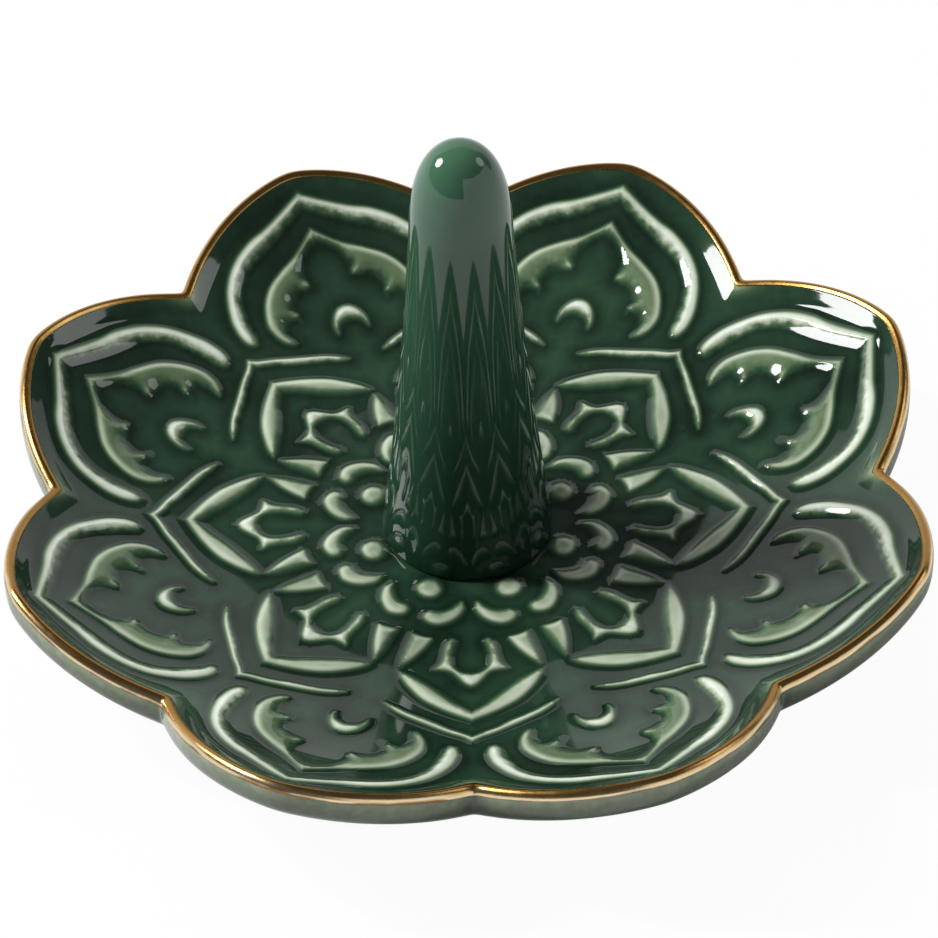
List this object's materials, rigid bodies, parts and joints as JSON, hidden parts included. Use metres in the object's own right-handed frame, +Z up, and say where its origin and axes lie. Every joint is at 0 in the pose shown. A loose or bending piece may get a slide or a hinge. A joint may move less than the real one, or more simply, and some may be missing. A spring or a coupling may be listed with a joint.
{
  "type": "ring holder",
  "caption": "Petal-rimmed ceramic ring dish with a traditional lotus relief, a smooth round-topped cone in the middle to drop finger rings over, a gilt edge and a foot ring.",
  "frame": {"origin": "on the surface that the dish stands on, under the middle of the dish, on the cone's axis", "axes": "+Z up along the cone's axis; -Y towards the viewer through a notch of the rim; +X to the viewer's right"},
  "size_m": [0.0992, 0.0992, 0.0604],
  "materials": {
    "relief_glaze": "glossy translucent dark green glaze, pale celadon where it thins over raised edges",
    "cone_glaze": "glossy deep green glaze",
    "gold_lustre": "polished gold lustre",
    "bare_clay": "unglazed, matt"
  },
  "bodies": {
    "root": {"dish": "relief_glaze", "ring_cone": "cone_glaze", "gold_rim": "gold_lustre", "foot_ring": "bare_clay", "cone_slip_joint": "bare_clay"}
  },
  "joints": []
}
